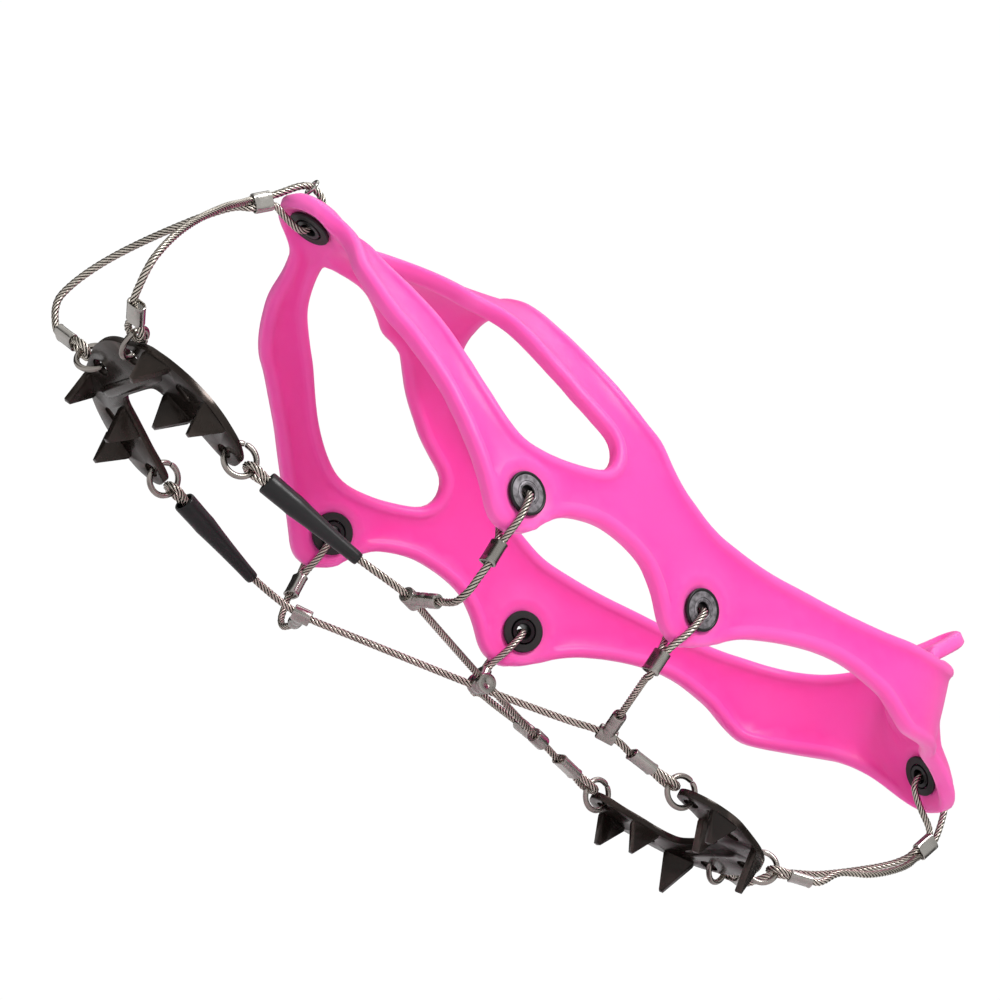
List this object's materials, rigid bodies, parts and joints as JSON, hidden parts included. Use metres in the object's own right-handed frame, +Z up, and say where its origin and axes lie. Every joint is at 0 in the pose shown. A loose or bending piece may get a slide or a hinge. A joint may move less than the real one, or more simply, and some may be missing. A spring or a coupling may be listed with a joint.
{
  "type": "shoe ice traction device",
  "caption": "Slip-on ice traction harness: stretch shoe harness with eyelets, wire cable web, rings and hinged toothed steel plates under the ball and heel.",
  "frame": {"origin": "top face of the rear plate under the heel, on the foot centre plane", "axes": "+X to the toe, +Y to the outer side of the foot, +Z up"},
  "size_m": [0.2708, 0.1064, 0.1036],
  "materials": {
    "pink_elastomer": "satin moulded",
    "plate_black": "satin black coated steel",
    "steel": "pressed, brushed",
    "wire": "twisted strand",
    "eyelet_grey": "turned grey",
    "washer_black": "matt",
    "sleeve_black": "satin"
  },
  "bodies": {
    "harness_and_cables": {"centre_clamp": "steel", "eyelet_front_inner": "eyelet_grey", "eyelet_front_outer": "eyelet_grey", "eyelet_heel": "eyelet_grey", "eyelet_rear_inner": "eyelet_grey", "eyelet_rear_outer": "eyelet_grey", "eyelet_toe": "eyelet_grey", "harness": "pink_elastomer", "heel_cable": "wire", "heel_eye_ferrule_inner": "steel", "heel_eye_ferrule_outer": "steel", "heel_ferrule": "steel", "long_cable_inner": "wire", "long_cable_outer": "wire", "rear_ferrule_inner": "steel", "rear_ferrule_outer": "steel", "side_cable_front_inner": "wire", "side_cable_front_outer": "wire", "side_cable_rear_inner": "wire", "side_cable_rear_outer": "wire", "side_ferrule_front_inner": "steel", "side_ferrule_front_outer": "steel", "side_ferrule_rear_inner": "steel", "side_ferrule_rear_outer": "steel", "sleeve_inner": "sleeve_black", "sleeve_outer": "sleeve_black", "t_clamp_front_inner": "steel", "t_clamp_front_outer": "steel", "t_clamp_rear_inner": "steel", "t_clamp_rear_outer": "steel", "toe_cable": "wire", "toe_eye_ferrule_inner": "steel", "toe_eye_ferrule_outer": "steel", "toe_ferrule": "steel", "washer_front_inner": "washer_black", "washer_front_outer": "washer_black", "washer_heel": "washer_black", "washer_rear_inner": "washer_black", "washer_rear_outer": "washer_black", "washer_toe": "washer_black"},
    "front_plate": {"front_spike_plate": "plate_black"},
    "rear_plate": {"rear_spike_plate": "plate_black"},
    "ring_front_inner": {"ring_front_inner": "steel"},
    "ring_front_outer": {"ring_front_outer": "steel"},
    "ring_heel_inner": {"ring_heel_inner": "steel"},
    "ring_heel_outer": {"ring_heel_outer": "steel"},
    "ring_rear_inner": {"ring_rear_inner": "steel"},
    "ring_rear_outer": {"ring_rear_outer": "steel"},
    "ring_toe_inner": {"ring_toe_inner": "steel"},
    "ring_toe_outer": {"ring_toe_outer": "steel"},
    "keeper_ring": {"toe_keeper_ring": "steel"}
  },
  "joints": [
    {"name": "front_plate_tilt", "type": "hinge", "parent": "harness_and_cables", "child": "front_plate", "pos_m": [0.17355, 0, 0.01587], "axis": [0, 1, 0], "range_deg": [-4, 2.5]},
    {"name": "rear_plate_tilt", "type": "hinge", "parent": "harness_and_cables", "child": "rear_plate", "pos_m": [0.02535, -0.0025, 0.00176], "axis": [0, 1, 0], "range_deg": [-2, 4]},
    {"name": "ring_front_outer_swing", "type": "hinge", "parent": "harness_and_cables", "child": "ring_front_outer", "pos_m": [0.16806, 0.0209, 0.01457], "axis": [0.1774, 0.981, 0.079], "range_deg": [-12, 12]},
    {"name": "ring_front_inner_swing", "type": "hinge", "parent": "harness_and_cables", "child": "ring_front_inner", "pos_m": [0.16806, -0.0209, 0.01457], "axis": [-0.1774, 0.981, -0.079], "range_deg": [-12, 12]},
    {"name": "ring_rear_outer_swing", "type": "hinge", "parent": "harness_and_cables", "child": "ring_rear_outer", "pos_m": [0.03105, 0.01684, 0.0025], "axis": [-0.0453, -0.999, -0.0048], "range_deg": [-12, 12]},
    {"name": "ring_rear_inner_swing", "type": "hinge", "parent": "harness_and_cables", "child": "ring_rear_inner", "pos_m": [0.03092, -0.02086, 0.00248], "axis": [0.2147, -0.9764, 0.0226], "range_deg": [-12, 12]},
    {"name": "ring_toe_outer_swing", "type": "hinge", "parent": "harness_and_cables", "child": "ring_toe_outer", "pos_m": [0.20212, 0.01308, 0.02926], "axis": [0.7165, -0.6204, 0.319], "range_deg": [-20, 13]},
    {"name": "ring_toe_inner_swing", "type": "hinge", "parent": "harness_and_cables", "child": "ring_toe_inner", "pos_m": [0.20212, -0.01308, 0.02926], "axis": [-0.7165, -0.6204, -0.319], "range_deg": [-20, 13]},
    {"name": "ring_heel_outer_swing", "type": "hinge", "parent": "harness_and_cables", "child": "ring_heel_outer", "pos_m": [-0.00796, 0.00792, -0.0005], "axis": [0.4287, 0.9023, 0.0451], "range_deg": [-20, 10.5]},
    {"name": "ring_heel_inner_swing", "type": "hinge", "parent": "harness_and_cables", "child": "ring_heel_inner", "pos_m": [-0.00796, -0.01292, -0.0005], "axis": [-0.4287, 0.9023, -0.0451], "range_deg": [-20, 10.5]},
    {"name": "keeper_ring_tilt", "type": "hinge", "parent": "harness_and_cables", "child": "keeper_ring", "pos_m": [0.17505, 0, 0.0898], "axis": [0, 1, 0], "range_deg": [-20, 20]}
  ],
  "couplings": [
    {"joint": "ring_toe_outer_swing", "follows": "front_plate_tilt", "ratio": 4.87},
    {"joint": "ring_toe_inner_swing", "follows": "front_plate_tilt", "ratio": 4.87},
    {"joint": "ring_heel_outer_swing", "follows": "rear_plate_tilt", "ratio": -4.922},
    {"joint": "ring_heel_inner_swing", "follows": "rear_plate_tilt", "ratio": -4.922}
  ]
}
